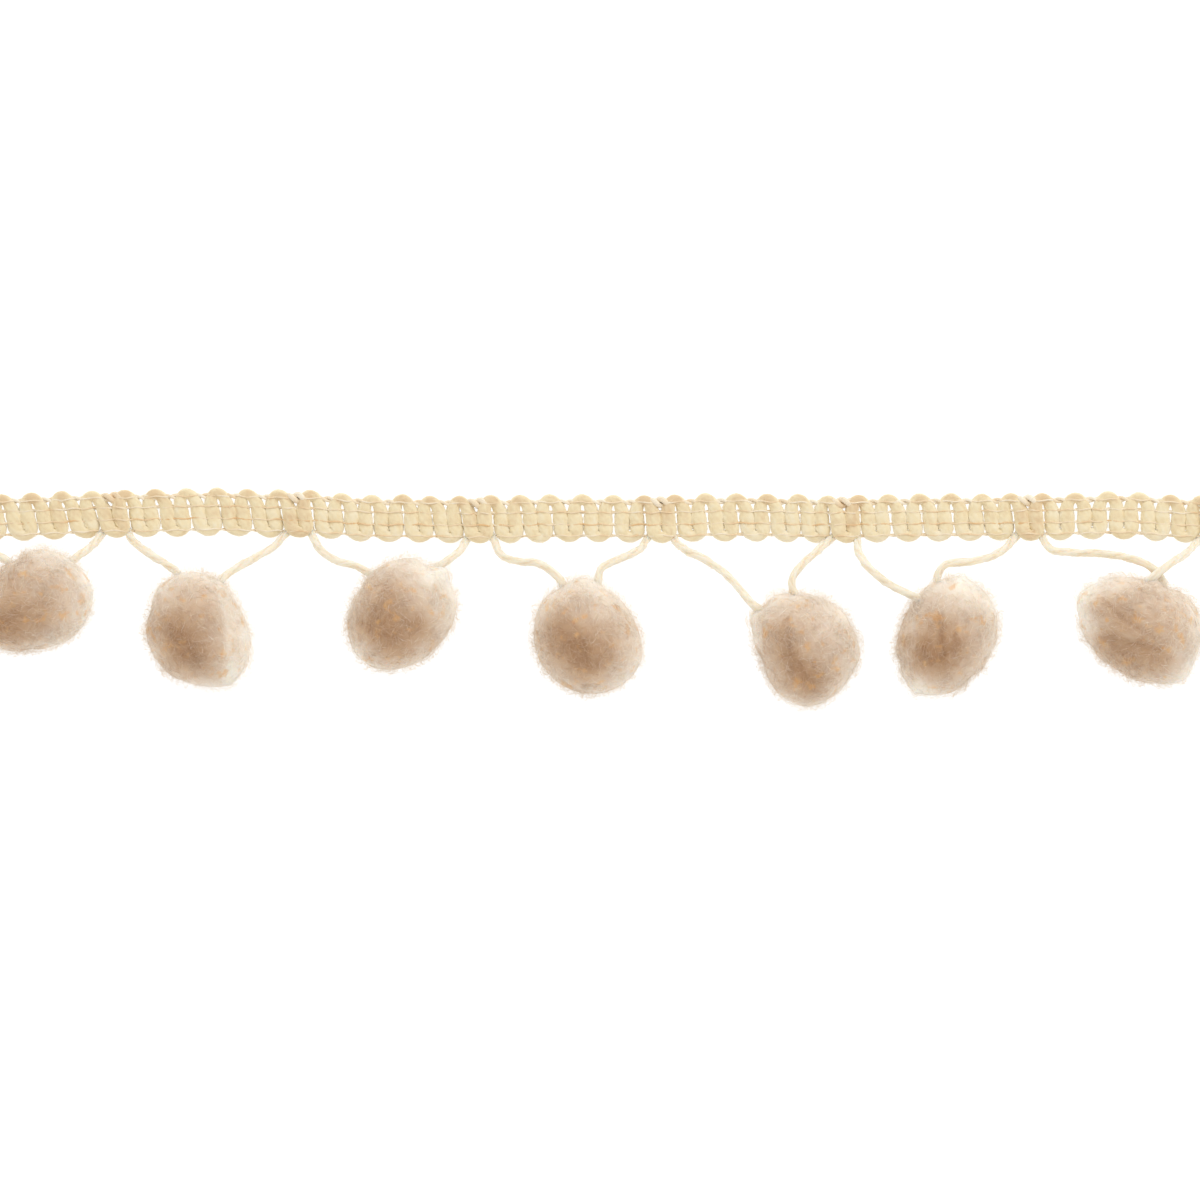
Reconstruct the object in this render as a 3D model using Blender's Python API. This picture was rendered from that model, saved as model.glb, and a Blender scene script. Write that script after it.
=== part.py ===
"""Pompom fringe trim, lying flat on its back.

A woven braid heading runs along X, face up. One carrier cord zigzags from the heading to each
of seven pompoms and back, and passes through all of them. Metres, +Z up, with the origin at the
middle of the trim on the surface that it lies on.
"""
import math
import random

import bmesh
import bpy
from mathutils import Vector

MM = 0.001

# Repeat of the trim along X
PITCH = 22.0 * MM
LOOPS = 8
WEFT_TURNS = 6
TURN = PITCH / WEFT_TURNS
END_TURNS = 1.5

# Heading, seen from above and through its thickness
HEADING_Y = 9.54 * MM
HEADING_HALF = 2.80 * MM
SCALLOP = 0.90 * MM
SCALLOP_POINT = 1.4
LEG_COLUMNS = 3
RIB_TOP = 1.75 * MM
PLAIN_VALLEY = 1.30 * MM
GAP_VALLEY = 0.90 * MM
BAND_VALLEY = 1.50 * MM
EDGE_HEIGHT = 0.70 * MM
LOOP_SWELL = 0.45 * MM
LOOP_SWELL_REACH = 2.6 * MM
HEADING_SHARP = math.radians(60)

# Rows of points across the heading, from the top edge to the bottom edge.
# side: +1 and -1 are set in from that scalloped edge, 0 is measured from the centre line.
HEADING_ROWS = (
    # side, place in mm, height of a rib, valley inside a turn, valley between two turns
    (1, 0.00, EDGE_HEIGHT, EDGE_HEIGHT, EDGE_HEIGHT),
    (1, 0.60, RIB_TOP, RIB_TOP, PLAIN_VALLEY),
    (0, 1.25, RIB_TOP, PLAIN_VALLEY, GAP_VALLEY),
    (0, 0.60, RIB_TOP, BAND_VALLEY, BAND_VALLEY),
    (0, -0.35, RIB_TOP, BAND_VALLEY, BAND_VALLEY),
    (0, -1.25, RIB_TOP, PLAIN_VALLEY, GAP_VALLEY),
    (-1, 0.60, RIB_TOP, RIB_TOP, PLAIN_VALLEY),
    (-1, 0.00, EDGE_HEIGHT, EDGE_HEIGHT, EDGE_HEIGHT),
)

# How the heading lies: it drifts a little along and across its straight line.
HEADING_LIE = (
    # station x, shift along, shift across, in mm
    (-83.0, 0.0, -0.30),
    (-68.0, 0.0, 0.00),
    (-55.0, 0.1, 0.45),
    (-43.0, 0.1, 0.66),
    (-33.0, 0.1, 0.42),
    (-22.5, 0.0, -0.12),
    (-12.0, 0.0, -0.24),
    (0.0, -0.1, -0.10),
    (10.7, -0.3, -0.12),
    (20.0, -0.4, 0.05),
    (32.5, -0.5, -0.15),
    (44.0, -0.3, 0.00),
    (55.0, -0.1, 0.10),
    (66.0, 0.0, 0.28),
    (75.0, 0.0, -0.20),
    (83.0, 0.0, -0.30),
)

# Carrier cord
CORD_RADIUS = 0.50 * MM
CORD_STEP = 3.4 * MM
CORD_BEND = math.radians(32)
ROUTE_GRAIN = 24
PIECE_GAP = 0.33 * MM
WELD = 0.001 * MM

# The cord's loop through the heading: out of the front over the lower half,
# through to the back, and round under the upper half.
LOOP_ROUTE = (
    # along and across from the loop's place on the heading, height, in mm
    (-1.84, -2.70, 2.10),
    (-1.72, -1.50, 1.70),
    (-1.76, 0.20, 0.90),
    (-1.70, 1.15, 0.64),
    (-1.36, 1.96, 0.57),
    (-0.55, 2.30, 0.56),
    (0.26, 1.96, 0.57),
    (0.60, 1.15, 0.64),
    (0.84, 0.20, 0.90),
    (1.30, -1.40, 1.65),
    (1.84, -2.70, 2.10),
)
LOOP_CROWN = 5

# The cord's way from one loop of the heading through a pompom to the next loop.
CORD_ROUTES = (
    # pompom 1
    (
        (-72.8, 6.2, 3.1),
        (-70.0, 5.3, 4.2),
        (-67.9, 4.6, 5.2),
        (-66.4, 2.9, 5.8),
        (-65.4, 1.6, 6.0),
        (-64.2, 1.1, 6.0),
        (-63.0, 1.6, 6.0),
        (-61.7, 2.8, 5.8),
        (-60.2, 4.2, 5.2),
        (-58.9, 5.2, 4.4),
        (-57.7, 6.1, 3.3),
    ),
    # pompom 2
    (
        (-51.9, 6.1, 3.1),
        (-50.4, 5.1, 4.0),
        (-48.9, 4.2, 4.8),
        (-47.5, 3.2, 5.4),
        (-46.7, 1.6, 6.0),
        (-46.2, 0.2, 6.2),
        (-45.2, -0.8, 6.2),
        (-43.9, -0.8, 6.2),
        (-42.9, 0.2, 6.2),
        (-42.4, 1.5, 6.0),
        (-41.4, 2.7, 5.4),
        (-40.2, 3.5, 4.8),
        (-37.6, 5.0, 3.8),
        (-35.8, 6.1, 2.9),
    ),
    # pompom 3
    (
        (-30.2, 5.8, 3.0),
        (-29.0, 4.8, 3.8),
        (-27.6, 4.2, 4.5),
        (-26.1, 3.9, 5.0),
        (-24.7, 3.2, 5.5),
        (-22.6, 1.8, 6.0),
        (-20.3, 0.5, 6.2),
        (-18.0, 1.9, 6.0),
        (-16.0, 3.7, 5.5),
        (-14.8, 4.5, 5.0),
        (-13.6, 5.4, 3.9),
    ),
    # pompom 4
    (
        (-8.7, 5.4, 3.1),
        (-7.5, 4.6, 3.8),
        (-6.0, 4.3, 4.5),
        (-4.5, 4.2, 5.0),
        (-3.3, 3.8, 5.3),
        (-2.2, 3.0, 5.6),
        (-1.2, 1.9, 5.9),
        (-0.5, 0.5, 6.2),
        (0.6, -0.7, 6.3),
        (2.1, -0.9, 6.3),
        (3.2, 0.3, 6.2),
        (3.2, 1.9, 5.9),
        (3.5, 3.4, 5.5),
        (4.8, 4.2, 4.9),
        (6.4, 4.9, 4.1),
        (8.2, 5.8, 3.1),
    ),
    # pompom 5
    (
        (13.7, 5.7, 3.1),
        (16.1, 4.5, 4.2),
        (17.8, 3.4, 5.0),
        (19.2, 2.1, 5.9),
        (20.4, 0.7, 6.6),
        (21.9, -1.0, 7.0),
        (23.9, -2.4, 6.9),
        (25.8, -3.1, 6.8),
        (27.4, -2.5, 6.6),
        (27.6, -0.9, 6.4),
        (26.7, 0.5, 6.1),
        (26.4, 1.8, 5.9),
        (26.9, 3.1, 5.4),
        (28.0, 4.3, 4.6),
        (29.5, 5.6, 3.4),
    ),
    # pompom 6
    (
        (34.4, 5.7, 3.1),
        (35.1, 4.3, 4.2),
        (36.5, 2.8, 5.4),
        (38.4, 1.4, 6.7),
        (40.2, 0.5, 7.5),
        (41.7, -0.2, 7.8),
        (43.1, -1.6, 7.4),
        (44.4, -3.3, 6.7),
        (46.2, -3.2, 6.3),
        (46.5, -1.4, 6.4),
        (45.2, 0.2, 6.6),
        (44.0, 1.4, 6.7),
        (43.9, 2.8, 6.5),
        (44.8, 3.9, 6.1),
        (46.3, 4.2, 5.6),
        (48.4, 4.4, 4.9),
        (50.8, 5.1, 3.9),
        (52.2, 6.0, 3.0),
    ),
    # pompom 7, whose two legs cross in front of its mouth
    (
        (57.6, 5.8, 2.9),
        (59.8, 5.4, 3.4),
        (63.2, 5.3, 4.1),
        (66.2, 4.9, 4.6),
        (68.2, 4.3, 4.8),
        (69.8, 3.4, 5.0),
        (70.8, 2.2, 5.1),
        (71.1, 0.8, 5.3),
        (70.8, -0.9, 5.7),
        (69.7, -2.1, 6.2),
        (68.2, -2.1, 6.6),
        (67.3, -0.8, 6.8),
        (67.8, 0.5, 7.0),
        (69.0, 1.8, 7.1),
        (70.4, 3.0, 7.0),
        (71.8, 4.1, 6.3),
        (73.6, 5.2, 4.9),
    ),
)

# Pompoms, from above
POMPOMS = (
    # x, y, radius, oval part, its direction, three-sided part, its direction, in mm and degrees
    (-64.5, -0.60, 6.70, 0.60, 26, 0.25, -33),
    (-44.7, -3.90, 6.85, 0.56, -65, 0.25, -39),
    (-20.4, -1.97, 6.80, 0.61, 49, 0.10, 0),
    (1.8, -4.78, 6.90, 0.46, -58, 0.14, -25),
    (28.0, -5.87, 6.80, 0.54, -59, 0.36, 21),
    (44.9, -4.65, 6.70, 0.85, 63, 0.11, -10),
    (68.4, -3.65, 7.00, 0.85, -26, 0.30, 34),
)
LOCK_LENGTH = 1.45 * MM
LOCK_STAGES = (
    # drawn in and raised, in mm
    (0.28, 0.95),
    (0.48, 0.62),
)
LOCK_LEAN = 0.14 * MM
FLOOR_ROOM = 0.40 * MM
LOCK_UNEVEN = 0.22 * MM
MOST_LOCKS = 42
LOCK_CLEAR_OF_CORD = 1.9 * MM
QUADS_A_SIDE = 3
CORE_STREW = 0.065
FOOT_REACH = 0.85
UNDERSIDE = -0.1
POMPOM_SHARP = math.radians(50)
BARE_BELOW = -0.72
SEED = 7

YARN = (0.76, 0.62, 0.46, 1.0)
BRAID = (0.78, 0.58, 0.33, 1.0)
CORD = (0.86, 0.76, 0.58, 1.0)


def clear_scene():
    for item in list(bpy.data.objects):
        bpy.data.objects.remove(item, do_unlink=True)


def new_collection(name):
    collection = bpy.data.collections.new(name)
    bpy.context.scene.collection.children.link(collection)
    return collection


def cloth_material(name, colour):
    material = bpy.data.materials.new(name)
    material.use_nodes = True
    shader = material.node_tree.nodes["Principled BSDF"]
    shader.inputs["Base Color"].default_value = colour
    shader.inputs["Roughness"].default_value = 0.9
    shader.inputs["Metallic"].default_value = 0.0
    material.diffuse_color = colour
    return material


def smooth_step(share):
    share = min(max(share, 0.0), 1.0)
    return share * share * (3 - 2 * share)


def heading_lie(x):
    """Shift along and across of the heading at a station x."""
    rows = HEADING_LIE
    x = min(max(x / MM, rows[0][0]), rows[-1][0])
    for before, after in zip(rows, rows[1:]):
        if x <= after[0]:
            share = smooth_step((x - before[0]) / (after[0] - before[0]))
            along = before[1] + share * (after[1] - before[1])
            across = before[2] + share * (after[2] - before[2])
            return along * MM, across * MM
    return 0.0, 0.0


def loop_places():
    """Where the cord's loops stand along the heading."""
    return [(index - (LOOPS - 1) / 2) * PITCH for index in range(LOOPS)]


def near_loop(x):
    """1 at a cord loop, falling to 0 away from it."""
    gap = min(abs(x - place) for place in loop_places())
    return smooth_step(1 - gap / LOOP_SWELL_REACH)


def scallop(phase):
    """How far an edge is drawn in: 0 on a turn of the weft, SCALLOP between two turns."""
    return SCALLOP * (0.5 - 0.5 * math.cos(2 * math.pi * phase)) ** SCALLOP_POINT


def heading_section(column, columns):
    """One cross-section of the heading, as points around it."""
    half_length = (LOOPS - 1) / 2 * PITCH + END_TURNS * TURN
    x = -half_length + 2 * half_length * column / columns
    phase = (x - loop_places()[0]) / TURN
    along, across = heading_lie(x)
    swell = 1 + near_loop(x) * LOOP_SWELL / RIB_TOP
    on_valley = column % LEG_COLUMNS == 0
    bottom_turn = round(2 * phase) % 2 == 0
    edges = {1: HEADING_HALF - scallop(phase + 0.5), -1: -HEADING_HALF + scallop(phase)}
    points = []
    for index, (side, place, rib, inside, between) in enumerate(HEADING_ROWS):
        upper = index < len(HEADING_ROWS) / 2
        valley = inside if bottom_turn != upper else between
        height = (valley if on_valley else rib) * swell
        y = edges[side] - side * place * MM if side else place * MM
        points.append(Vector((x + along, HEADING_Y + across + y, height)))
    for end in (points[-1], points[0]):
        points.append(Vector((end.x, end.y, 0.0)))
    return points


def loft(name, sections):
    """A closed solid through rings of points, with flat ends."""
    bm = bmesh.new()
    rings = [[bm.verts.new(point) for point in section] for section in sections]
    count = len(rings[0])
    for ring, following in zip(rings, rings[1:]):
        for index in range(count):
            beside = (index + 1) % count
            bm.faces.new((ring[index], ring[beside], following[beside], following[index]))
    bm.faces.new(rings[0])
    bm.faces.new(rings[-1])
    bmesh.ops.recalc_face_normals(bm, faces=bm.faces)
    mesh = bpy.data.meshes.new(name)
    bm.to_mesh(mesh)
    bm.free()
    return mesh


def add_part(collection, name, data, material):
    part = bpy.data.objects.new(name, data)
    data.materials.append(material)
    collection.objects.link(part)
    return part


def make_heading(collection):
    turns = (LOOPS - 1) * WEFT_TURNS + 2 * END_TURNS
    columns = round(turns * 2 * LEG_COLUMNS)
    sections = [heading_section(column, columns) for column in range(columns + 1)]
    heading = add_part(collection, "braid_heading", loft("braid_heading", sections),
                       cloth_material("braid", BRAID))
    heading.data.shade_smooth()
    heading.data.set_sharp_from_angle(angle=HEADING_SHARP)
    return heading


def loop_points(place):
    """The cord's loop at one place of the heading."""
    along, across = heading_lie(place)
    return [
        Vector((place + along + dx * MM, HEADING_Y + across + dy * MM, z * MM))
        for dx, dy, z in LOOP_ROUTE
    ]


def cord_route():
    """Every point of the carrier cord, from the first loop's crown to the last one's."""
    places = loop_places()
    route = loop_points(places[0])[LOOP_CROWN:]
    for place, way in zip(places[1:], CORD_ROUTES):
        route += [Vector(point) * MM for point in way]
        route += loop_points(place)
    return route[: LOOP_CROWN + 1 - len(LOOP_ROUTE)]


def blend(a, b, ta, tb, t):
    return a * ((tb - t) / (tb - ta)) + b * ((t - ta) / (tb - ta))


def curve_point(four, knots, t):
    """The point at t of the smooth curve between the middle two of four points."""
    level = [blend(four[i], four[i + 1], knots[i], knots[i + 1], t) for i in range(3)]
    level = [blend(level[i], level[i + 1], knots[i], knots[i + 2], t) for i in range(2)]
    return blend(level[0], level[1], knots[1], knots[2], t)


def smooth_curve(points):
    """Many points on one smooth curve through the given ones (centripetal Catmull-Rom)."""
    ends = [2 * points[0] - points[1], *points, 2 * points[-1] - points[-2]]
    curve = [points[0]]
    for four in zip(ends, ends[1:], ends[2:], ends[3:]):
        knots = [0.0]
        for a, b in zip(four, four[1:]):
            knots.append(knots[-1] + math.sqrt((b - a).length))
        for grain in range(1, ROUTE_GRAIN + 1):
            t = knots[1] + (knots[2] - knots[1]) * grain / ROUTE_GRAIN
            curve.append(curve_point(four, knots, t))
    return curve


def thin_out(curve):
    """Keeps a point every CORD_STEP, and sooner where the curve has turned by CORD_BEND."""
    kept = [curve[0]]
    run = 0.0
    bend = 0.0
    for before, here, after in zip(curve, curve[1:], curve[2:]):
        run += (here - before).length
        bend += (here - before).angle(after - here)
        if run >= CORD_STEP or bend >= CORD_BEND:
            kept.append(here)
            run = 0.0
            bend = 0.0
    kept.append(curve[-1])
    return kept


def tube_curve(name, points, radius):
    curve = bpy.data.curves.new(name, "CURVE")
    curve.dimensions = "3D"
    curve.twist_mode = "MINIMUM"
    curve.bevel_depth = radius
    curve.bevel_resolution = 2
    curve.use_fill_caps = True
    spline = curve.splines.new("POLY")
    spline.points.add(len(points) - 1)
    for point, place in zip(spline.points, points):
        point.co = (*place, 1.0)
    spline.use_smooth = True
    return curve


def make_cord(collection, points):
    curve = tube_curve("carrier_cord", points, CORD_RADIUS)
    return add_part(collection, "carrier_cord", curve, cloth_material("cord", CORD))


def make_cord_clearance(collection, points):
    """A fatter copy of the cord that cuts its way through the heading and the pompoms."""
    points = list(points)
    points[0] = points[0] + (points[0] - points[1]).normalized() * PIECE_GAP
    points[-1] = points[-1] + (points[-1] - points[-2]).normalized() * PIECE_GAP
    curve = tube_curve("cord_clearance", points, CORD_RADIUS + PIECE_GAP)
    guide = bpy.data.objects.new("cord_clearance_curve", curve)
    collection.objects.link(guide)
    graph = bpy.context.evaluated_depsgraph_get()
    mesh = bpy.data.meshes.new_from_object(guide.evaluated_get(graph))
    cutter = bpy.data.objects.new("cord_clearance", mesh)
    cutter.matrix_world = guide.matrix_world
    bpy.data.objects.remove(guide, do_unlink=True)
    bm = bmesh.new()
    bm.from_mesh(mesh)
    bmesh.ops.remove_doubles(bm, verts=bm.verts, dist=WELD)
    bmesh.ops.recalc_face_normals(bm, faces=bm.faces)
    bm.to_mesh(mesh)
    bm.free()
    collection.objects.link(cutter)
    cutter.hide_render = True
    cutter.display_type = "WIRE"
    return cutter


def cut(part, cutter):
    modifier = part.modifiers.new("cord_way", "BOOLEAN")
    modifier.operation = "DIFFERENCE"
    modifier.solver = "EXACT"
    modifier.object = cutter


def outline_radius(row, angle):
    """The pompom's radius in plan, towards an angle."""
    _, _, radius, oval, oval_way, three, three_way = row
    oval_part = oval * math.cos(2 * (angle - math.radians(oval_way)))
    three_part = three * math.cos(3 * (angle - math.radians(three_way)))
    return (radius + oval_part + three_part) * MM


def core_point(row, direction):
    """A point of the pompom's core, on the ray in this direction."""
    level = math.hypot(direction.x, direction.y) ** 2
    plan = outline_radius(row, math.atan2(direction.y, direction.x))
    radius = row[2] * MM + level * (plan - row[2] * MM) - LOCK_LENGTH
    return direction * radius


def ball_of_quads(dice):
    """A ball of near-square faces, from a cube whose points are pushed out and strewn a little."""
    turn = dice.uniform(0, math.pi / 2)
    bm = bmesh.new()
    bmesh.ops.create_cube(bm, size=2.0)
    bmesh.ops.subdivide_edges(bm, edges=bm.edges[:], cuts=QUADS_A_SIDE - 1, use_grid_fill=True)
    for vert in bm.verts:
        evened = Vector([math.tan(value * math.pi / 4) for value in vert.co]).normalized()
        x = evened.x * math.cos(turn) - evened.y * math.sin(turn)
        y = evened.x * math.sin(turn) + evened.y * math.cos(turn)
        strewn = Vector([dice.uniform(-1, 1) for _ in range(3)]) * CORE_STREW
        if evened.z < -FOOT_REACH:
            strewn.zero()
        vert.co = (Vector((x, y, evened.z)) + strewn).normalized()
    return bm


def lock_share(face):
    """How much of its length a lock keeps: less underneath, where it meets the surface."""
    if face.normal.z > UNDERSIDE:
        return 1.0
    room = min(vert.co.z for vert in face.verts) - FLOOR_ROOM
    return min(1.0, room / (LOCK_LENGTH * -face.normal.z))


def raise_lock(bm, face, dice):
    """Grows a blunt four-sided lock from a face of the core, fused to it at its root."""
    share = lock_share(face)
    for drawn_in, raised in LOCK_STAGES:
        bmesh.ops.inset_individual(bm, faces=[face], thickness=drawn_in * MM,
                                   depth=raised * share * MM, use_even_offset=True)
    face.normal_update()
    lean = Vector([dice.uniform(-1, 1) for _ in range(3)]) * LOCK_LEAN
    lean += face.normal * dice.uniform(-1, 1) * LOCK_UNEVEN
    lean.z = max(lean.z, -FLOOR_ROOM / 2)
    for vert in face.verts:
        vert.co += lean * share


def pompom_mesh(name, row, way, dice):
    bm = ball_of_quads(dice)
    for vert in bm.verts:
        vert.co = core_point(row, vert.co.normalized())
    foot = min(bm.faces, key=lambda face: face.calc_center_median().z)
    lowest = sum(vert.co.z for vert in foot.verts) / 4
    for vert in foot.verts:
        vert.co.z = lowest
    for vert in bm.verts:
        vert.co += Vector((row[0] * MM, row[1] * MM, -lowest))
    bm.normal_update()
    open_faces = []
    for face in bm.faces:
        middle = face.calc_center_median() + face.normal * LOCK_LENGTH / 2
        room = min((middle - point).length for point in way)
        if face.normal.z > BARE_BELOW and room > LOCK_CLEAR_OF_CORD:
            open_faces.append(face)
    open_faces.sort(key=lambda face: -face.calc_center_median().z)
    for face in open_faces[:MOST_LOCKS]:
        raise_lock(bm, face, dice)
    bmesh.ops.recalc_face_normals(bm, faces=bm.faces)
    mesh = bpy.data.meshes.new(name)
    bm.to_mesh(mesh)
    bm.free()
    mesh.shade_smooth()
    mesh.set_sharp_from_angle(angle=POMPOM_SHARP)
    return mesh


def make_pompoms(collection, way):
    pompoms = []
    yarn = cloth_material("yarn", YARN)
    for number, row in enumerate(POMPOMS, start=1):
        name = f"pompom_{number}"
        dice = random.Random(SEED + number)
        mesh = pompom_mesh(name, row, way, dice)
        pompoms.append(add_part(collection, name, mesh, yarn))
    return pompoms


def main():
    clear_scene()
    parts = new_collection("pompom_fringe_trim")
    cutters = new_collection("cutters")
    curve = smooth_curve(cord_route())
    points = thin_out(curve)
    heading = make_heading(parts)
    make_cord(parts, points)
    cutter = make_cord_clearance(cutters, points)
    for part in [heading, *make_pompoms(parts, curve)]:
        cut(part, cutter)


main()
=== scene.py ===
"""Looks of the pompom fringe trim, made on the frame that its solids give.

The trim lies face up on a pale floor, lit from all round as in a light tent, under a camera that
looks straight down. Metres, +Z up, the same frame as the solids.
"""
import math
import random

import bmesh
import bpy
import numpy as np
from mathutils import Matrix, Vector, noise

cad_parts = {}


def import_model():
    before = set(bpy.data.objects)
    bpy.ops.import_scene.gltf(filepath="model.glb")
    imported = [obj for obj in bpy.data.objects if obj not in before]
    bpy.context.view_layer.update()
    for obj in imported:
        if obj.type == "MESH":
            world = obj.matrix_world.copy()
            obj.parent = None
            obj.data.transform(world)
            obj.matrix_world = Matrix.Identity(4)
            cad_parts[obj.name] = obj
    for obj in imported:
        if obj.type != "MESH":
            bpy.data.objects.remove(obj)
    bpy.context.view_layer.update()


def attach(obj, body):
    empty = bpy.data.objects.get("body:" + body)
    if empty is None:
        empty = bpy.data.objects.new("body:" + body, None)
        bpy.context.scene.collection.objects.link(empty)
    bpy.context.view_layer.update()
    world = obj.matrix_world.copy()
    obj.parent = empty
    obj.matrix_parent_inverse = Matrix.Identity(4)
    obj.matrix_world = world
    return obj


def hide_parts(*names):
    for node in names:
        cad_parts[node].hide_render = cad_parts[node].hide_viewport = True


MM = 0.001

# Repeat of the trim along X, as in the solids
PITCH = 22.0 * MM
LOOPS = 8
WEFT_TURNS = 6
TURN = PITCH / WEFT_TURNS
END_TURNS = 1.5
HEADING_Y = 9.54 * MM
LOOP_SWELL = 0.70 * MM
LOOP_SWELL_REACH = 2.6 * MM

# How the heading lies: it drifts a little along and across its straight line.
HEADING_LIE = (
    # station x, shift along, shift across, in mm
    (-83.0, 0.0, -0.30),
    (-68.0, 0.0, 0.00),
    (-55.0, 0.1, 0.45),
    (-43.0, 0.1, 0.66),
    (-33.0, 0.1, 0.42),
    (-22.5, 0.0, -0.12),
    (-12.0, 0.0, -0.24),
    (0.0, -0.1, -0.10),
    (10.7, -0.3, -0.12),
    (20.0, -0.4, 0.05),
    (32.5, -0.5, -0.15),
    (44.0, -0.3, 0.00),
    (55.0, -0.1, 0.10),
    (66.0, 0.0, 0.28),
    (75.0, 0.0, -0.20),
    (83.0, 0.0, -0.30),
)

# How the weft's turns are drawn along the heading, so that its legs slant
TURN_SHIFTS = (
    # station x, shift of the upper turns, shift of the lower turns, in mm
    (-83.0, -0.8, 0.0),
    (-66.0, -0.8, 0.2),
    (-58.0, -1.0, 0.3),
    (-53.5, -0.7, 0.3),
    (-44.0, -0.5, 0.3),
    (-36.0, -0.6, 0.3),
    (-31.0, -0.3, 0.3),
    (-22.0, -0.1, 0.1),
    (-15.0, -0.6, 0.1),
    (-3.0, -0.7, -0.1),
    (5.0, -0.3, -0.3),
    (12.0, -0.1, 0.2),
    (20.0, 0.1, 0.6),
    (27.0, 0.2, 0.7),
    (40.0, 0.0, 0.5),
    (48.0, 0.1, 0.5),
    (52.5, -0.3, 0.3),
    (60.0, 0.0, 0.2),
    (68.0, 0.5, 0.5),
    (83.0, 0.6, 0.5),
)

# Weft yarn: one thick soft yarn laid back and forth across the heading, broader along its middle
# and narrower round its turns
WEFT_WIDTHS = (
    # across the heading, half width, in mm
    (-2.2, 0.70),
    (-1.7, 0.87),
    (-1.2, 0.92),
    (-0.6, 0.91),
    (0.1, 0.94),
    (0.6, 0.91),
    (1.3, 0.78),
    (1.8, 0.72),
    (2.3, 0.66),
)
WEFT_HALF_HEIGHT = 0.66 * MM
WEFT_SQUARENESS = 2.2
WEFT_REACH = 2.215 * MM
WEFT_SHIFT = 0.095 * MM
WEFT_SWAY_UPPER = 0.085
WEFT_SWAY_LOWER = 0.110
WEFT_LEAN = 0.10 * MM
LOOP_SPREAD = 0.32 * MM
WEFT_STEPS_A_TURN = 34
WEFT_SIDES = 26
WEFT_HEIGHT = 0.84 * MM
WEFT_UNEVEN = 0.08 * MM
WEFT_STRANDS = 7
WEFT_LAY = 9.0 * MM
PINCH_WIDTH = 0.24 * MM
PINCH_DEPTH = 0.22
PINCH_WAIST = 0.05
WEFT_RELIEF = 0.075

# How golden the weft is, from 0 to 1: all over, more at the cord's loops, less at the lower edge and
# uneven along the yarn. Painted shade makes it deeper along the upper edge and in the grooves between
# its strands, and painted light makes it paler on its flanks
WEFT_GOLD = 0.54
GOLD_AT_LOOPS = 0.34
SHADE_AT_TOP = 0.30
SHADE_TOP_FROM = 1.4
GOLD_AT_FOOT = 0.12
GOLD_FOOT_REACH = 2 * MM
GOLD_UNEVEN = 0.12
GROOVE_SHADE = 1.8
FLANK_LIGHT = 0.55
FLANK_POWER = 6

# Warp threads: twisted in pairs through the weft's turns, with a fine stitch over each pair
WARP_LINES = (
    # across the heading, strand radius, in mm, times that at the cord's loops, gold of the stitch
    (2.00, 0.20, 1.9, 0.35),
    (0.80, 0.12, 1.2, 0.45),
    (-0.66, 0.12, 1.2, 0.65),
    (-2.00, 0.11, 1.0, 0.40),
)
WARP_HEIGHT = 0.95 * MM
WARP_SWELL = 0.50 * MM
WARP_STEPS_A_TURN = 14
WARP_SIDES = 5
STRAND_APART = 1.02
STRAND_GOLD = 0.25
WARP_LAY = 0.9 * MM
WARP_RELIEF = 0.04
WARP_GOLD_AT_LOOPS = 0.1
WARP_PATCHES = 0.35
STITCH_RADIUS = 0.10 * MM
STITCH_SWAY = 0.07 * MM
STITCH_UNEVEN = 0.04 * MM

# Carrier cord, a little thinner than its solid
CORD_RADIUS = 0.46 * MM
CORD_STEP = 0.24 * MM
CORD_PLIES = 3
CORD_LAY = 3.1 * MM
CORD_SIDES = 18
CORD_RELIEF = 0.20
CORD_UNEVEN = 0.07
ROUTE_GRAIN = 24

# The cord's loop through the heading, under the weft. The solid's loop runs a little higher.
LOOP_ROUTE = (
    # along and across from the loop's place on the heading, height, in mm
    (-1.84, -2.70, 1.40),
    (-1.30, -1.70, 0.80),
    (-1.05, 0.20, 0.62),
    (-0.95, 1.15, 0.58),
    (-0.75, 1.75, 0.57),
    (-0.10, 2.05, 0.56),
    (0.55, 1.75, 0.57),
    (0.80, 1.15, 0.58),
    (0.95, 0.20, 0.62),
    (1.30, -1.70, 0.80),
    (1.84, -2.70, 1.40),
)
LOOP_CROWN = 5
DRAWN_WITHIN = 2.5

# How far the cord dips under its solid's route on its way to the heading
DIP_START = 4.0 * MM
DIP_REACH = 2.8 * MM
DIP = 0.75 * MM

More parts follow.
